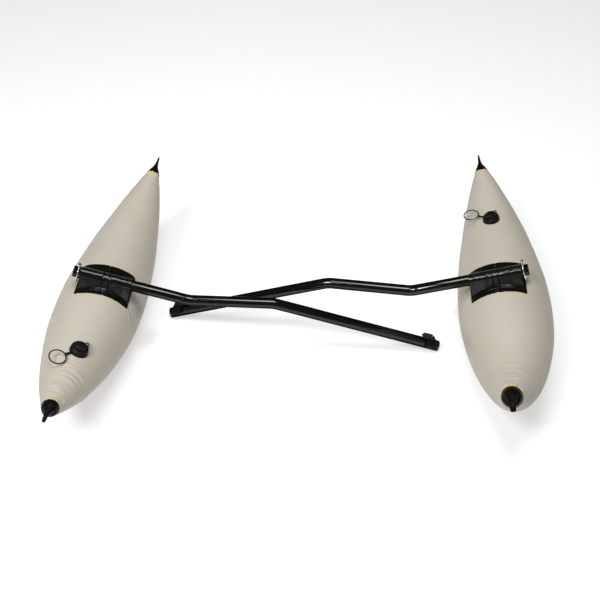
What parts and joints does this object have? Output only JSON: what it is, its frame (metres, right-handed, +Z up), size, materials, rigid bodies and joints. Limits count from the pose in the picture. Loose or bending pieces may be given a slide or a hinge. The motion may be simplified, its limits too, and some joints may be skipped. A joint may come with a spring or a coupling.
{
  "type": "kayak outrigger",
  "caption": "Inflatable kayak outriggers laid down with crossed arms: curved air floats with tail caps and screw valves, bent tube arms in patch tunnels, lock pins and snap buttons.",
  "frame": {"origin": "middle of the pair's box in plan, on the floor that the floats and the arms' inner ends rest on", "axes": "+X across the pair to the right in the picture, +Y away from the camera, towards the bows, +Z up"},
  "size_m": [1.3022, 0.9446, 0.2979],
  "materials": {
    "float": "satin coated fabric",
    "rubber": "smooth coated fabric",
    "tube": "gloss",
    "plastic": "moulded satin",
    "steel": "polished"
  },
  "bodies": {
    "arms": {"left_arm_tube": "tube", "left_outer_plug": "plastic", "left_inner_plug": "plastic", "left_lock_pin": "steel", "left_stop_rivet": "plastic", "left_button_spring": "steel", "left_index_plate": "plastic", "right_arm_tube": "tube", "right_outer_plug": "plastic", "right_inner_plug": "plastic", "right_lock_pin": "steel", "right_stop_rivet": "plastic", "right_button_spring": "steel", "right_index_plate": "plastic"},
    "left_outrigger_float": {"left_float": "float", "left_bow_nose_cap": "rubber", "left_stern_nose_cap": "rubber", "left_outboard_patch": "rubber", "left_inboard_patch": "rubber", "left_outboard_tunnel": "rubber", "left_middle_loop": "rubber", "left_inboard_tunnel": "rubber", "left_valve_base": "plastic", "left_poppet_spring": "steel", "left_cap_tether": "plastic"},
    "left_pin_ring": {"left_lock_ring": "steel"},
    "left_button": {"left_snap_button": "steel"},
    "left_screw_cap": {"left_valve_cap": "plastic"},
    "left_poppet": {"left_valve_poppet": "plastic"},
    "right_outrigger_float": {"right_float": "float", "right_bow_nose_cap": "rubber", "right_stern_nose_cap": "rubber", "right_outboard_patch": "rubber", "right_inboard_patch": "rubber", "right_outboard_tunnel": "rubber", "right_middle_loop": "rubber", "right_inboard_tunnel": "rubber", "right_valve_base": "plastic", "right_poppet_spring": "steel", "right_cap_tether": "plastic"},
    "right_pin_ring": {"right_lock_ring": "steel"},
    "right_button": {"right_snap_button": "steel"},
    "right_screw_cap": {"right_valve_cap": "plastic"},
    "right_poppet": {"right_valve_poppet": "plastic"}
  },
  "joints": [
    {"name": "left_float_turn", "type": "hinge", "parent": "arms", "child": "left_outrigger_float", "pos_m": [-0.4985, -0.02752, 0.22974], "axis": [0.9486, -0.0299, -0.315], "continuous": true},
    {"name": "left_ring_swing", "type": "hinge", "parent": "arms", "child": "left_pin_ring", "pos_m": [-0.55785, -0.02621, 0.27472], "axis": [0.0388, 0.999, 0.0221], "range_deg": [0, 140]},
    {"name": "left_button_press", "type": "slide", "parent": "arms", "child": "left_button", "axis": [0.314, -0.0331, 0.9488], "range_m": [0, 0.0055], "stiffness_N_per_m": 800, "springref_m": -0.002, "deforming": ["left_button_spring"]},
    {"name": "left_cap_unscrew", "type": "hinge", "parent": "left_outrigger_float", "child": "left_screw_cap", "pos_m": [-0.52711, -0.24882, 0.20963], "axis": [0.3948, -0.0489, 0.9175], "range_deg": [0, 360]},
    {"name": "left_poppet_press", "type": "slide", "parent": "left_outrigger_float", "child": "left_poppet", "axis": [-0.3948, 0.0489, -0.9175], "range_m": [0, 0.003], "stiffness_N_per_m": 300, "springref_m": -0.002, "deforming": ["left_poppet_spring"]},
    {"name": "right_float_turn", "type": "hinge", "parent": "arms", "child": "right_outrigger_float", "pos_m": [0.48396, -0.03326, 0.2472], "axis": [-0.9387, 0.0949, -0.3315], "continuous": true},
    {"name": "right_ring_swing", "type": "hinge", "parent": "arms", "child": "right_pin_ring", "pos_m": [0.54323, -0.03236, 0.29228], "axis": [-0.1905, -0.9441, 0.2692], "range_deg": [0, 140]},
    {"name": "right_button_press", "type": "slide", "parent": "arms", "child": "right_button", "axis": [-0.2875, 0.3158, 0.9042], "range_m": [0, 0.0055], "stiffness_N_per_m": 800, "springref_m": -0.002, "deforming": ["right_button_spring"]},
    {"name": "right_cap_unscrew", "type": "hinge", "parent": "right_outrigger_float", "child": "right_screw_cap", "pos_m": [0.51499, 0.21352, 0.24005], "axis": [-0.2509, -0.0386, 0.9672], "range_deg": [0, 360]},
    {"name": "right_poppet_press", "type": "slide", "parent": "right_outrigger_float", "child": "right_poppet", "axis": [0.2509, 0.0386, -0.9672], "range_m": [0, 0.003], "stiffness_N_per_m": 300, "springref_m": -0.002, "deforming": ["right_poppet_spring"]}
  ]
}
